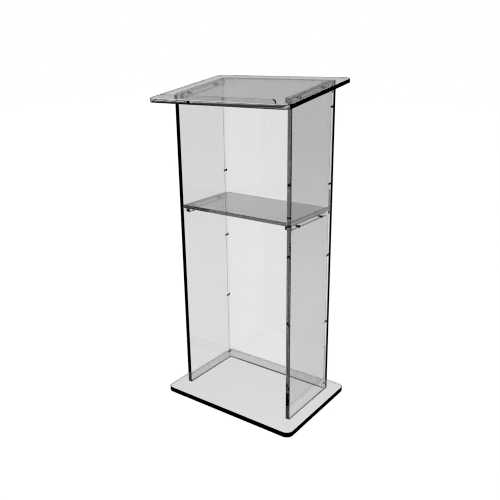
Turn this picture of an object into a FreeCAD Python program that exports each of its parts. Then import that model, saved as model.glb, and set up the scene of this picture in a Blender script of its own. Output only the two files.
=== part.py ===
import FreeCAD, Part
import os
from math import cos, radians, sin, tan

# Clear acrylic lectern: a base plate, two side panels with sloping tops, a back panel screwed
# to their rear edges, a shelf and a sloping reading plate on cleats, and a book stop.
# Millimetres. X is the width, -Y the open side where the speaker stands, +Z up.
# The origin is on the floor, in the middle of the footprint seen from above.

# ---- Body: the upright box of side panels and back panel ----
body_width = 460.0
body_depth = 261.0
panel_thickness = 16.0
panel_edge_chamfer = 1.2

# ---- Joints: the film of air or adhesive between two sheets that meet ----
joint_film = 0.1

# ---- Base plate ----
base_width = 548.0
base_front_margin = 71.0
base_rear_margin = 57.0
base_thickness = 19.0
base_corner_radius = 26.0
base_edge_chamfer = 1.0

# ---- Reading plate ----
plate_width = 548.0
plate_length = 380.0
plate_thickness = 13.0
plate_slope = 9.0
plate_front_overhang = 86.5
plate_front_height = 1083.5
plate_corner_radius = 24.0
plate_edge_chamfer = 1.0

# ---- Book stop along the front edge of the reading plate ----
stop_length = 452.0
stop_height = 14.0
stop_thickness = 8.0
stop_setback = 3.0
stop_corner_radius = 9.0

# ---- Shelf ----
shelf_top_height = 719.5
shelf_thickness = 12.0
shelf_side_gap = 0.5
shelf_edge_chamfer = 1.0

# ---- Cleats under the shelf and the reading plate ----
cleat_size = 16.0
cleat_setback = 13.0
cleat_screw_depths = (49.0, 191.0)
cleat_edge_chamfer = 1.4

# ---- Fasteners: countersunk socket screws that thread straight into the acrylic ----
screw_diameter = 6.0
screw_head_diameter = 10.0
screw_head_height = 2.0
screw_tip_chamfer = 0.8
socket_width = 4.0
socket_depth = 2.2
clearance_hole_diameter = 6.4
tapped_hole_slack = 1.0
cleat_screw_length = 30.0
rear_screw_length = 27.0
rear_screw_count = 5
rear_screw_first = 26.0
rear_screw_pitch = 252.0

# ---- Positions worked out from the sizes above ----
overall_depth = plate_front_overhang + body_depth + base_rear_margin
body_front = plate_front_overhang - overall_depth / 2
body_rear = body_front + body_depth
back_panel_front = body_rear - panel_thickness
side_panel_rear = back_panel_front - joint_film
inner_half_width = body_width / 2 - panel_thickness
slope = radians(plate_slope)
plate_front = body_front - plate_front_overhang
shelf_underside = shelf_top_height - shelf_thickness
sides = {"left": -1, "right": 1}
rear_screw_heights = [
    base_thickness + rear_screw_first + step * rear_screw_pitch for step in range(rear_screw_count)
]


def vector(x, y, z):
    return FreeCAD.Vector(x, y, z)


def plate_underside(y):
    """Height of the reading plate's lower face at depth y."""
    front_underside = plate_front_height - plate_thickness / cos(slope)
    return front_underside + (y - plate_front) * tan(slope)


def on_plate_slope(shape):
    """Lay a shape, built flat with its origin at the plate's front top edge, on the slope."""
    shape.rotate(vector(0, 0, 0), vector(1, 0, 0), plate_slope)
    shape.translate(vector(0, plate_front, plate_front_height))
    return shape


def box(x_range, y_range, z_range):
    size = [upper - lower for lower, upper in (x_range, y_range, z_range)]
    return Part.makeBox(*size, vector(x_range[0], y_range[0], z_range[0]))


def prism_along_x(outline, x_start, x_length):
    """Extrude a closed outline of (y, z) points along X."""
    points = [vector(x_start, y, z) for y, z in outline]
    face = Part.Face(Part.makePolygon(points + points[:1]))
    return face.extrude(vector(x_length, 0, 0))


def is_along(edge, direction):
    first, last = edge.Vertexes[0].Point, edge.Vertexes[-1].Point
    return edge.Length > 0 and abs((last - first).dot(direction)) > 0.999 * edge.Length


def round_corners(shape, direction, radius):
    """Round the edges that run along a direction."""
    edges = [edge for edge in shape.Edges if is_along(edge, direction)]
    return shape.makeFillet(radius, edges)


def bevel(shape, size):
    """Take the sharpness off every edge, as polishing does."""
    return shape.makeChamfer(size, shape.Edges)


def rounded_plate(width, length, thickness, radius, chamfer):
    """A flat plate with rounded corners, its top face at z = 0 and its front edge at y = 0."""
    blank = box((-width / 2, width / 2), (0, length), (-thickness, 0))
    return bevel(round_corners(blank, vector(0, 0, 1), radius), chamfer)


def rod(diameter, length, start, direction):
    return Part.makeCylinder(diameter / 2, length, start, direction)


def hexagonal_rod(width_across_flats, length):
    """A hexagonal rod that stands on the origin."""
    corner_radius = width_across_flats / 2 / cos(radians(30))
    corners = [vector(corner_radius * cos(radians(60 * step)),
                      corner_radius * sin(radians(60 * step)), 0) for step in range(6)]
    return Part.Face(Part.makePolygon(corners + corners[:1])).extrude(vector(0, 0, length))


def screw(length, head_face, direction):
    """Countersunk socket screw whose flush head starts at head_face and runs along direction."""
    tip_radius = screw_diameter / 2 - screw_tip_chamfer
    profile = [
        vector(0, 0, 0),
        vector(screw_head_diameter / 2, 0, 0),
        vector(screw_diameter / 2, 0, screw_head_height),
        vector(screw_diameter / 2, 0, length - screw_tip_chamfer),
        vector(tip_radius, 0, length),
        vector(0, 0, length),
    ]
    face = Part.Face(Part.makePolygon(profile + profile[:1]))
    body = face.revolve(vector(0, 0, 0), vector(0, 0, 1), 360)
    fastener = body.cut(hexagonal_rod(socket_width, socket_depth))
    turn = FreeCAD.Rotation(vector(0, 0, 1), direction)
    fastener.Placement = FreeCAD.Placement(head_face, turn)
    return fastener


def clearance_hole(head_face, direction):
    """Countersunk hole, to cut from the panel that holds the screw's head."""
    clearance = clearance_hole_diameter - screw_diameter
    sink = Part.makeCone((screw_head_diameter + clearance) / 2, clearance_hole_diameter / 2,
                         screw_head_height, head_face, direction)
    return sink.fuse(rod(clearance_hole_diameter, panel_thickness, head_face, direction))


def tapped_hole(length, head_face, direction):
    """Threaded hole, to cut from the part beyond the panel that holds the screw's head."""
    return rod(screw_diameter, length, head_face, direction)


# ---- Where each screw sits: the face under its head, by location and side ----
def rear_heads(side):
    x = side * (body_width - panel_thickness) / 2
    return [vector(x, body_rear, height) for height in rear_screw_heights]


def cleat_heads(side, underside):
    """Screw heads on a side panel's outer face, level with the middle of its cleat."""
    depths = [body_front + depth for depth in cleat_screw_depths]
    return [vector(side * body_width / 2, y, underside(y) - joint_film - cleat_size / 2)
            for y in depths]


def shelf_hang(y):
    return shelf_underside


def inwards(side):
    return vector(-side, 0, 0)


forwards = vector(0, -1, 0)
cleat_levels = {"shelf": shelf_hang, "plate": plate_underside}


# ---- Plates and panels ----
def make_base_plate():
    length = base_front_margin + body_depth + base_rear_margin
    plate = rounded_plate(base_width, length, base_thickness, base_corner_radius,
                          base_edge_chamfer)
    plate.translate(vector(0, body_front - base_front_margin, base_thickness))
    return plate


def make_side_panel(side):
    bottom = base_thickness + joint_film
    outline = [
        (body_front, bottom),
        (side_panel_rear, bottom),
        (side_panel_rear, plate_underside(side_panel_rear) - joint_film),
        (body_front, plate_underside(body_front) - joint_film),
    ]
    x_start = inner_half_width if side > 0 else -body_width / 2
    panel = bevel(prism_along_x(outline, x_start, panel_thickness), panel_edge_chamfer)
    for head in rear_heads(side):
        panel = panel.cut(tapped_hole(rear_screw_length + tapped_hole_slack, head, forwards))
    for underside in cleat_levels.values():
        for head in cleat_heads(side, underside):
            panel = panel.cut(clearance_hole(head, inwards(side)))
    return panel


def make_back_panel():
    bottom = base_thickness + joint_film
    outline = [
        (back_panel_front, bottom),
        (body_rear, bottom),
        (body_rear, plate_underside(body_rear) - joint_film),
        (back_panel_front, plate_underside(back_panel_front) - joint_film),
    ]
    panel = bevel(prism_along_x(outline, -body_width / 2, body_width), panel_edge_chamfer)
    for side in sides.values():
        for head in rear_heads(side):
            panel = panel.cut(clearance_hole(head, forwards))
    return panel


def make_shelf():
    half_width = inner_half_width - shelf_side_gap
    plate = box((-half_width, half_width), (body_front, back_panel_front - joint_film),
                (shelf_underside, shelf_top_height))
    return bevel(plate, shelf_edge_chamfer)


def make_reading_plate():
    plate = rounded_plate(plate_width, plate_length, plate_thickness, plate_corner_radius,
                          plate_edge_chamfer)
    return on_plate_slope(plate)


def make_book_stop():
    strip = box((-stop_length / 2, stop_length / 2),
                (stop_setback, stop_setback + stop_thickness), (joint_film, stop_height))
    corners = [edge for edge in strip.Edges
               if is_along(edge, vector(0, 1, 0)) and edge.Vertexes[0].Z > stop_height / 2]
    return on_plate_slope(strip.makeFillet(stop_corner_radius, corners))


# ---- Cleats: square bars inside the side panels, bonded to what they hold up ----
def make_cleat(side, underside):
    front = body_front + cleat_setback
    rear = back_panel_front - cleat_setback
    drop = joint_film + cleat_size
    outline = [
        (front, underside(front) - drop),
        (rear, underside(rear) - drop),
        (rear, underside(rear) - joint_film),
        (front, underside(front) - joint_film),
    ]
    inner_face = inner_half_width - drop
    x_start = inner_face if side > 0 else -inner_face - cleat_size
    cleat = bevel(prism_along_x(outline, x_start, cleat_size), cleat_edge_chamfer)
    for head in cleat_heads(side, underside):
        cleat = cleat.cut(tapped_hole(panel_thickness + drop, head, inwards(side)))
    return cleat


# ---- Fastener groups: one node for the identical fasteners of each joint ----
def screw_group(length, heads, direction):
    return Part.makeCompound([screw(length, head, direction) for head in heads])


def build_nodes():
    nodes = {
        "base_plate": make_base_plate(),
        "back_panel": make_back_panel(),
        "shelf": make_shelf(),
        "reading_plate": make_reading_plate(),
        "book_stop": make_book_stop(),
    }
    for name, side in sides.items():
        nodes[f"{name}_side_panel"] = make_side_panel(side)
        nodes[f"rear_screws_{name}"] = screw_group(rear_screw_length, rear_heads(side), forwards)
        for level, underside in cleat_levels.items():
            heads = cleat_heads(side, underside)
            nodes[f"{level}_cleat_{name}"] = make_cleat(side, underside)
            nodes[f"{level}_cleat_screws_{name}"] = screw_group(cleat_screw_length, heads,
                                                                inwards(side))
    return nodes


os.makedirs("parts", exist_ok=True)
for node_name, node_shape in build_nodes().items():
    assert node_shape.isValid(), node_name
    node_shape.exportStep(f"parts/{node_name}.step")
    box_of_node = node_shape.BoundBox
    print(f"{node_name}: {len(node_shape.Solids)} solids, {node_shape.Volume / 1000:.1f} cm3,",
          f"z {box_of_node.ZMin:.1f} to {box_of_node.ZMax:.1f}")
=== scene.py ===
from math import cos, pi, radians, sin
from typing import NamedTuple

import bpy
from mathutils import Euler, Matrix, Vector


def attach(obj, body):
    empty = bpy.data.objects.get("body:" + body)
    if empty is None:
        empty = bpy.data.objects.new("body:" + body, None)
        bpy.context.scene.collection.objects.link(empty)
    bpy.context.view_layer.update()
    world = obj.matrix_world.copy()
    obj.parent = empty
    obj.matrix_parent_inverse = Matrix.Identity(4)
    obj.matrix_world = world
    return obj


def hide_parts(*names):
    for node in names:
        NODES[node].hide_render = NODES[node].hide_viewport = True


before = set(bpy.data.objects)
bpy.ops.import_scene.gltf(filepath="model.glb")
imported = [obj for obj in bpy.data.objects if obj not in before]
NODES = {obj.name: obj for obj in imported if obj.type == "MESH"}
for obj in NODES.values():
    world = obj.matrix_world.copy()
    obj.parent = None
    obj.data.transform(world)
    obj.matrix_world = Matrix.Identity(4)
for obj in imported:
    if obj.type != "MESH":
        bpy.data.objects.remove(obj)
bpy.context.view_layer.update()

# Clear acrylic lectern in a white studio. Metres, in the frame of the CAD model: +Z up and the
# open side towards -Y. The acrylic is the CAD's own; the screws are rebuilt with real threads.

# ---- Camera: the lens in millimetres, the turns in degrees ----
SENSOR_MM = 36.0
LENS_MM = 44.23
CAMERA_PLACE = (1.2069, -1.6593, 1.2354)
CAMERA_DROP = 18.20
CAMERA_TURN = 36.33
CAMERA_ROLL = -0.724

# ---- Directions ----
Y_AXIS = 1
Z_AXIS = 2
PLATE_SLOPE = radians(9)
ACROSS_X = (1, 0, 0)
ACROSS_Y = (0, 1, 0)
ACROSS_Z = (0, 0, 1)
ACROSS_SLOPE = (0, -sin(PLATE_SLOPE), cos(PLATE_SLOPE))
ALONG_SLOPE = (0, cos(PLATE_SLOPE), sin(PLATE_SLOPE))
FORWARDS = (0, -1, 0)


# ---- Acrylic ----
class Sheet(NamedTuple):
    """A piece of acrylic: the normal of its broad faces, absorption per metre, and tones that
    paint shade on its faces, chamfers and edges.
    """

    across: tuple
    density: float
    face: float
    chamfer_shade: float
    edge: float
    painted_front_shade: float = 1.0          # painted shade on what faces forwards
    top: float = 1.0            # painted shade towards the upper part of the panels
    painted_shade_line: bool = False    # a painted shade stripe, dark, along the lower side of its edges
    sawn_ends: bool = False     # matte ends towards -X and +X


# The tones are painted shade: the same clear acrylic is set darker or lighter piece by piece,
# its chamfers and edges darker than its faces.
CLEAT = Sheet(ACROSS_X, 1.0, 0.95, 0.25, 0.95)
ACRYLIC = {
    "left_side_panel": Sheet(ACROSS_X, 4.5, 0.79, 0.20, 0.80, top=0.92),
    "right_side_panel": Sheet(ACROSS_X, 4.5, 0.93, 0.20, 0.80, top=0.81),
    "back_panel": Sheet(ACROSS_Y, 4.5, 0.875, 0.20, 0.80, top=0.957),
    "base_plate": Sheet(ACROSS_Z, 4.5, 0.91, 0.10, 0.90),
    "shelf": Sheet(ACROSS_Z, 0.5, 0.46, 0.25, 0.97, painted_front_shade=0.26, sawn_ends=True),
    "reading_plate": Sheet(ACROSS_SLOPE, 1.7, 0.95, 0.20, 0.95, painted_shade_line=True),
    "book_stop": Sheet(ALONG_SLOPE, 4.5, 0.90, 0.40, 0.90),
    "shelf_cleat_left": CLEAT,
    "shelf_cleat_right": CLEAT,
    "plate_cleat_left": CLEAT,
    "plate_cleat_right": CLEAT,
}
IOR_ACRYLIC = 1.49
RED_CAST = 0.996                # red in every tone, as a share of its green and blue
CHAMFER_FROM = 0.25             # how squarely a surface lies across its sheet to be a chamfer
FACE_FROM = 0.90                # and to be a face
# A painted shade stripe along the lower side of the edges: its height and tone.
SHADE_LINE_HEIGHT = 0.0035
SHADE_LINE_TONE = 0.02
SAWN_CLEARNESS = 0.0
TOP_SHADE_FROM = 0.45            # heights between which the painted shade of the upper part comes in
TOP_SHADE_FULL = 0.95
CLOUDS = (7, 3)                 # scale and detail of the noise, as for the three below
CLOUD_TONE = 0.97
WAVES = (9, 1)
WAVE_HEIGHT = 0.000004

# ---- Black steel ----
STEEL_METALLIC = 0.6
STEEL_BLACK = (0.006, 0.006, 0.007, 1)
STEEL_BROWN = (0.020, 0.018, 0.017, 1)
STEEL_ROUGHNESS = (0.3, 0.5)
MOTTLE = (900, 4)
GRAIN = (6000, 2)
GRAIN_STRENGTH = 0.15
GRAIN_HEIGHT = 0.00002

# ---- Screws: heads and threads just over the CAD's size, so that no air round them hides them
SEGMENTS = 24
HEAD_RADIUS = 0.0053
HEAD_HEIGHT = 0.0021
HEAD_FLAT = 0.96                # share of the head's radius that is flat
HEAD_ROUNDING = 0.0001
SOCKET_WIDTH = 0.0040
SOCKET_DEPTH = 0.0022
SOCKET_LIP = 0.0003             # depth over which the socket flares out
SOCKET_FLARE = 1.12
CREST_RADIUS = 0.00342
ROOT_RADIUS = 0.00322
PITCH = 0.0010
ROOT_SHARE = 0.2                # share of the pitch that is flat at the root
FLANK_SHARE = 1 / 3             # share of the pitch in the two flanks
ROWS_PER_TURN = 4
TIP_CHAMFER = 0.0008
PARTING = 0.03                  # the screws of a node stand further apart than this

# ---- Floor and light ----
FLOOR_REACH = 12.0
FLOOR_DROP = 0.0005
FLOOR_TONE = 0.01
CEILING_FROM = 0.30             # upward part of a direction where the ceiling starts
CEILING_FULL = 0.42
CEILING_LIGHT = 0.1
BOUNCES = 40
GLOSSY_BOUNCES = 6
TRANSMISSION_BOUNCES = 16
PIXEL_FILTER = 1.1


def link(item):
    bpy.context.scene.collection.objects.link(item)
    return item


# ---- Camera ----
def make_camera():
    data = bpy.data.cameras.new("camera")
    data.sensor_width = SENSOR_MM
    data.lens = LENS_MM
    camera = link(bpy.data.objects.new("camera", data))
    camera.location = CAMERA_PLACE
    turn = Euler((radians(90 - CAMERA_DROP), 0, radians(CAMERA_TURN)), "XYZ").to_matrix()
    roll = Euler((0, 0, radians(CAMERA_ROLL)), "XYZ").to_matrix()
    camera.rotation_euler = (turn @ roll).to_euler()
    bpy.context.scene.camera = camera


# ---- Materials ----
MIX_AMOUNT = 0                  # sockets of a Mix node that blends colours
MIX_COLOURS = (6, 7)
MIX_RESULT = 2


class Tree:
    """A material's node tree, with short calls to add nodes and join them."""

    def __init__(self, name):
        self.material = bpy.data.materials.new(name)
        self.material.use_nodes = True
        self.nodes = self.material.node_tree.nodes
        self.links = self.material.node_tree.links
        self.shader = self.nodes["Principled BSDF"]
        self.output = self.nodes["Material Output"]

    def add(self, kind, settings=None, **values):
        node = self.nodes.new(kind)
        for key, value in (settings or {}).items():
            setattr(node, key, value)
        for key, value in values.items():
            node.inputs[key.replace("_", " ")].default_value = value
        return node

    def join(self, source, target):
        self.links.new(source, target)

    def set(self, **values):
        for key, value in values.items():
            self.shader.inputs[key.replace("_", " ")].default_value = value

    def noise(self, scale, detail):
        """Noise over the object's own space, from 0 to 1."""
        place = self.add("ShaderNodeTexCoord")
        noise = self.add("ShaderNodeTexNoise", Scale=scale, Detail=detail)
        self.join(place.outputs["Object"], noise.inputs["Vector"])
        return noise.outputs["Fac"]

    def spread(self, value, low, high):
        """Map a 0 to 1 value onto low to high."""
        spread = self.add("ShaderNodeMapRange", To_Min=low, To_Max=high)
        self.join(value, spread.inputs["Value"])
        return spread.outputs["Result"]

    def along(self, coordinates, direction):
        """How far the surface's place or its normal reaches along a direction."""
        place = self.add("ShaderNodeTexCoord")
        along = self.add("ShaderNodeVectorMath", {"operation": "DOT_PRODUCT"})
        along.inputs[1].default_value = direction
        self.join(place.outputs[coordinates], along.inputs[0])
        return along.outputs["Value"]

    def facing(self, direction):
        """How squarely the surface faces a direction, from -1 to 1."""
        return self.along("Normal", direction)

    def either_way(self, value):
        """A value without its sign."""
        either = self.add("ShaderNodeMath", {"operation": "ABSOLUTE"})
        self.join(value, either.inputs[0])
        return either.outputs["Value"]

    def rise(self, across, node):
        """Distance from a node's lower face, measured across its sheet."""
        lowest = min(v.co.dot(Vector(across)) for v in NODES[node].data.vertices)
        rise = self.add("ShaderNodeMath", {"operation": "SUBTRACT"})
        self.join(self.along("Object", across), rise.inputs[0])
        rise.inputs[1].default_value = lowest
        return rise.outputs["Value"]

    def shade_by_height(self, start, end, tone):
        """Painted shade: a tone from 1 up to the height start down to tone above the height end.
        """
        painted_shade = self.add("ShaderNodeMapRange", From_Min=start, From_Max=end, To_Min=1.0,
                         To_Max=tone)
        self.join(self.along("Object", ACROSS_Z), painted_shade.inputs["Value"])
        return painted_shade.outputs["Result"]

    def tones(self, value, *steps):
        """Tones in steps of a value from 0 to 1, each step a start and a tone."""
        tones = self.add("ShaderNodeValToRGB")
        ramp = tones.color_ramp
        ramp.interpolation = "CONSTANT"
        while len(ramp.elements) < len(steps):
            ramp.elements.new(0.5)
        for index, (start, tone) in enumerate(steps):
            ramp.elements[index].position = start
            ramp.elements[index].color = (tone * RED_CAST, tone, tone, 1)
        self.join(value, tones.inputs["Fac"])
        return tones.outputs["Color"]

    def blend(self, kind, first, second):
        """Blend the second colour onto the first."""
        mix = self.add("ShaderNodeMix", {"data_type": "RGBA", "blend_type": kind})
        for slot, source in zip(MIX_COLOURS, (first, second)):
            self.join(source, mix.inputs[slot])
        mix.inputs[MIX_AMOUNT].default_value = 1.0
        return mix.outputs[MIX_RESULT]

    def bump(self, height, strength, distance):
        bump = self.add("ShaderNodeBump", Strength=strength, Distance=distance)
        self.join(height, bump.inputs["Height"])
        self.join(bump.outputs["Normal"], self.shader.inputs["Normal"])


def acrylic(name, sheet):
    """Clear acrylic, with painted shade set by how each surface lies to the normal of the
    sheet's broad faces.

    The chamfers are dark as painted shade, as are the edges, forward-facing surfaces, the upper
    part of the panels and a stripe along the lower side of some edges; its colour is slightly
    cloudy and the surface is just out of flat."""
    tree = Tree(name)
    tree.set(Roughness=0.0, IOR=IOR_ACRYLIC, Transmission_Weight=1.0)
    flatly = tree.either_way(tree.facing(sheet.across))
    # Painted shade: chamfers and edges darker than the broad faces, whose tone is set piece by
    # piece.
    surfaces = tree.tones(flatly, (0.0, sheet.edge), (CHAMFER_FROM, sheet.chamfer_shade),
                          (FACE_FROM, sheet.face))
    # Painted shade on what faces forwards.
    front_shade_tones = tree.tones(tree.facing(FORWARDS), (0.0, 1.0), (FACE_FROM, sheet.painted_front_shade))
    painted_shade = tree.blend("MULTIPLY", surfaces, front_shade_tones)
    # Painted shade: a dark stripe along the lower side of the edges.
    if sheet.painted_shade_line:
        shade_line_tones = tree.tones(tree.rise(sheet.across, name), (0.0, SHADE_LINE_TONE), (SHADE_LINE_HEIGHT, 1.0))
        off_the_edges = tree.tones(flatly, (0.0, 0.0), (CHAMFER_FROM, 1.0))
        painted_shade = tree.blend("MULTIPLY", painted_shade, tree.blend("LIGHTEN", shade_line_tones, off_the_edges))
    if sheet.sawn_ends:
        ends = tree.either_way(tree.facing(ACROSS_X))
        clearness = tree.tones(ends, (0.0, 1.0), (FACE_FROM, SAWN_CLEARNESS))
        tree.join(clearness, tree.shader.inputs["Transmission Weight"])
    # Painted shade: darker towards the upper part of the panels.
    top = tree.shade_by_height(TOP_SHADE_FROM, TOP_SHADE_FULL, sheet.top)
    cloud = tree.spread(tree.noise(*CLOUDS), CLOUD_TONE, 1.0)
    # The base colour: painted shade with the cloudy noise over it.
    painted_shade_and_cloud = tree.blend("MULTIPLY", tree.blend("MULTIPLY", painted_shade, top), cloud)
    tree.join(painted_shade_and_cloud, tree.shader.inputs["Base Color"])
    tree.bump(tree.noise(*WAVES), 1.0, WAVE_HEIGHT)
    volume = tree.add("ShaderNodeVolumeAbsorption", Color=(0, 0, 0, 1), Density=sheet.density)
    tree.join(volume.outputs["Volume"], tree.output.inputs["Volume"])
    return tree.material


def black_steel():
    """Black oxide on steel: satin, slightly mottled, with a brown cast where it is thin."""
    tree = Tree("black_steel")
    tree.set(Metallic=STEEL_METALLIC)
    mottle = tree.noise(*MOTTLE)
    colour = tree.add("ShaderNodeValToRGB")
    tree.join(mottle, colour.inputs["Fac"])
    colour.color_ramp.elements[0].color = STEEL_BLACK
    colour.color_ramp.elements[1].color = STEEL_BROWN
    tree.join(colour.outputs["Color"], tree.shader.inputs["Base Color"])
    tree.join(tree.spread(mottle, *STEEL_ROUGHNESS), tree.shader.inputs["Roughness"])
    tree.bump(tree.noise(*GRAIN), GRAIN_STRENGTH, GRAIN_HEIGHT)
    return tree.material


def set_material(item, material):
    item.data.materials.clear()
    item.data.materials.append(material)


# ---- Screws ----
def hexagon_radius(angle):
    """Distance from the socket's axis to its wall."""
    return SOCKET_WIDTH / 2 / cos((angle + pi / 6) % (pi / 3) - pi / 6)


def thread_radius(angle, depth):
    """Distance from the screw's axis to its thread: flat root, flanks and flat crest."""
    phase = (depth / PITCH - angle / (2 * pi)) % 1.0
    rise = min(1.0, max(0.0, (abs(2 * phase - 1) - ROOT_SHARE) / FLANK_SHARE))
    return ROOT_RADIUS + (CREST_RADIUS - ROOT_RADIUS) * rise


def screw_rows(length):
    """Rings of points from the socket's floor, round the head and down the thread to the tip."""
    angles = [2 * pi * step / SEGMENTS for step in range(SEGMENTS)]

    def ring(radius, depth):
        return [(radius * cos(a), radius * sin(a), depth) for a in angles]

    def socket(depth, widen=1.0):
        radii = [widen * hexagon_radius(a) for a in angles]
        return [(radius * cos(a), radius * sin(a), depth) for radius, a in zip(radii, angles)]

    def thread(depth):
        radii = [thread_radius(a, depth) for a in angles]
        return [(radius * cos(a), radius * sin(a), depth) for radius, a in zip(radii, angles)]

    rows = [
        socket(SOCKET_DEPTH),
        socket(SOCKET_LIP),
        socket(0, SOCKET_FLARE),
        ring(HEAD_RADIUS * HEAD_FLAT, 0),
        ring(HEAD_RADIUS, HEAD_ROUNDING),
        ring(ROOT_RADIUS, HEAD_HEIGHT),
    ]
    thread_start = HEAD_HEIGHT + PITCH / ROWS_PER_TURN
    thread_end = length - TIP_CHAMFER
    count = int((thread_end - thread_start) / PITCH * ROWS_PER_TURN)
    for step in range(count + 1):
        rows.append(thread(thread_start + step * (thread_end - thread_start) / count))
    rows.append(ring(ROOT_RADIUS - TIP_CHAMFER, length))
    return rows


def screw_mesh(name, length, places):
    """One mesh with a screw at each place, a matrix that takes its axis from +Z."""
    rows = screw_rows(length)
    points = [p for row in rows for p in row] + [(0, 0, SOCKET_DEPTH), (0, 0, length)]
    faces = []
    for upper in range(len(rows) - 1):
        for step in range(SEGMENTS):
            a = upper * SEGMENTS + step
            b = upper * SEGMENTS + (step + 1) % SEGMENTS
            faces.append((a, a + SEGMENTS, b + SEGMENTS, b))
    floor = len(points) - 2
    tip = len(points) - 1
    last_row = (len(rows) - 1) * SEGMENTS
    for step in range(SEGMENTS):
        after = (step + 1) % SEGMENTS
        faces.append((floor, step, after))
        faces.append((tip, last_row + after, last_row + step))
    vertices = []
    polygons = []
    for place in places:
        start = len(vertices)
        vertices += [place @ Vector(p) for p in points]
        polygons += [tuple(start + index for index in face) for face in faces]
    mesh = bpy.data.meshes.new(name)
    mesh.from_pydata(vertices, [], polygons)
    mesh.update()
    return mesh


def places_along(node, axis, row_axis):
    """Frames at the head face of each CAD screw of a node, and the screws' length.

    The screws run along the vector axis, and stand in a row along the numbered row_axis."""
    vertices = sorted((v.co.copy() for v in NODES[node].data.vertices),
                      key=lambda co: co[row_axis])
    groups = [[vertices[0]]]
    for before, co in zip(vertices, vertices[1:]):
        if co[row_axis] - before[row_axis] > PARTING:
            groups.append([])
        groups[-1].append(co)
    turn = Vector((0, 0, 1)).rotation_difference(axis).to_matrix().to_4x4()
    places = []
    lengths = []
    for group in groups:
        along = [co.dot(axis) for co in group]
        middle = Vector([(min(co[i] for co in group) + max(co[i] for co in group)) / 2
                         for i in range(3)])
        head = middle + axis * (min(along) - middle.dot(axis))
        places.append(Matrix.Translation(head) @ turn)
        lengths.append(max(along) - min(along))
    return places, lengths[0]


def make_screws(node, axis, row_axis, material):
    places, length = places_along(node, axis, row_axis)
    piece = link(bpy.data.objects.new(f"{node}_threaded", screw_mesh(node, length, places)))
    set_material(piece, material)
    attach(piece, "root")
    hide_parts(node)


# ---- Floor and light ----
def make_floor():
    """White floor that glows evenly, and leaves no reflection in the acrylic."""
    corners = [(x * FLOOR_REACH, y * FLOOR_REACH, -FLOOR_DROP)
               for x, y in ((-1, -1), (1, -1), (1, 1), (-1, 1))]
    mesh = bpy.data.meshes.new("floor")
    mesh.from_pydata(corners, [], [(0, 1, 2, 3)])
    floor = link(bpy.data.objects.new("floor", mesh))
    tree = Tree("white_floor")
    tree.set(Base_Color=(FLOOR_TONE, FLOOR_TONE, FLOOR_TONE, 1), Roughness=1.0,
             Specular_IOR_Level=0.0, Emission_Color=(1, 1, 1, 1), Emission_Strength=1.0)
    set_material(floor, tree.material)
    floor.visible_glossy = False


def make_world():
    """White studio, with a dark ceiling in what shows through the acrylic.

    The camera and matte surfaces see white all round, and mirror reflections see nothing."""
    world = bpy.data.worlds.new("studio")
    world.use_nodes = True
    nodes = world.node_tree.nodes
    links = world.node_tree.links
    background = nodes["Background"]
    background.inputs["Strength"].default_value = 1.0
    place = nodes.new("ShaderNodeTexCoord")
    split = nodes.new("ShaderNodeSeparateXYZ")
    links.new(place.outputs["Generated"], split.inputs["Vector"])
    ceiling = nodes.new("ShaderNodeMapRange")
    for key, value in (("From Min", CEILING_FROM), ("From Max", CEILING_FULL),
                       ("To Min", 1.0), ("To Max", CEILING_LIGHT)):
        ceiling.inputs[key].default_value = value
    links.new(split.outputs["Z"], ceiling.inputs["Value"])
    path = nodes.new("ShaderNodeLightPath")
    light = ceiling.outputs["Result"]
    for ray in ("Is Camera Ray", "Is Diffuse Ray"):
        lighter = nodes.new("ShaderNodeMath")
        lighter.operation = "MAXIMUM"
        links.new(light, lighter.inputs[0])
        links.new(path.outputs[ray], lighter.inputs[1])
        light = lighter.outputs["Value"]
    links.new(light, background.inputs["Color"])
    world.cycles_visibility.glossy = False
    bpy.context.scene.world = world


def set_view():
    """Plain tones, enough bounces for light to cross the sheets, and a narrow pixel filter."""
    scene = bpy.context.scene
    scene.view_settings.view_transform = "Standard"
    scene.cycles.max_bounces = BOUNCES
    scene.cycles.glossy_bounces = GLOSSY_BOUNCES
    scene.cycles.transmission_bounces = TRANSMISSION_BOUNCES
    scene.cycles.filter_width = PIXEL_FILTER


make_camera()
for node_name, node_sheet in ACRYLIC.items():
    set_material(NODES[node_name], acrylic(node_name, node_sheet))
steel = black_steel()
for side, inwards in (("left", Vector((1, 0, 0))), ("right", Vector((-1, 0, 0)))):
    make_screws(f"rear_screws_{side}", Vector(FORWARDS), Z_AXIS, steel)
    make_screws(f"shelf_cleat_screws_{side}", inwards, Y_AXIS, steel)
    make_screws(f"plate_cleat_screws_{side}", inwards, Y_AXIS, steel)
make_floor()
make_world()
set_view()
